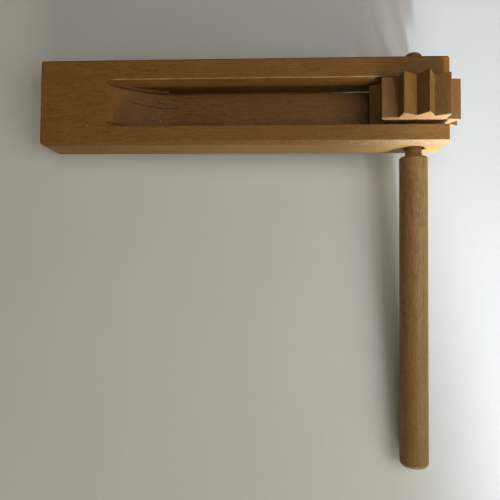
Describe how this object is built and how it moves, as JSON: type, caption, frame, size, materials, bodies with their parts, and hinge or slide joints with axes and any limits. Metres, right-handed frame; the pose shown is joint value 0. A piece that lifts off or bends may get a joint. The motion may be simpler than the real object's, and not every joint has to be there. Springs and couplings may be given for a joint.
{
  "type": "ratchet noisemaker",
  "caption": "Hand-held wooden ratchet noisemaker: a grooved block whirls round its handle while a springy tongue clicks over a toothed wheel.",
  "frame": {"origin": "middle of the handle's grip, on the handle's axis", "axes": "+Y along the handle towards the block, -X along the block to its butt end, +Z square to the block's grooved top"},
  "size_m": [0.2073, 0.2032, 0.0438],
  "materials": {
    "block_wood": "sanded bare beech, grain along the block",
    "tongue_wood": "sawn bare beech, grain along the tongue",
    "wheel_wood": "bare beech, pale cut sides and darker flanks",
    "handle_wood": "turned bare beech, grain along the handle"
  },
  "bodies": {
    "crank": {"handle": "handle_wood", "toothed_wheel": "wheel_wood"},
    "frame": {"block": "block_wood"},
    "reed": {"tongue": "tongue_wood"}
  },
  "joints": [
    {"name": "whirl", "type": "hinge", "parent": "crank", "child": "frame", "pos_m": [0, 0.101, 0], "axis": [0, 1, 0], "continuous": true},
    {"name": "tongue_flex", "type": "hinge", "parent": "frame", "child": "reed", "pos_m": [-0.1194, 0.101, -0.00805], "axis": [0, 1, 0], "range_deg": [-1, 2], "stiffness_Nm_per_rad": 42}
  ]
}
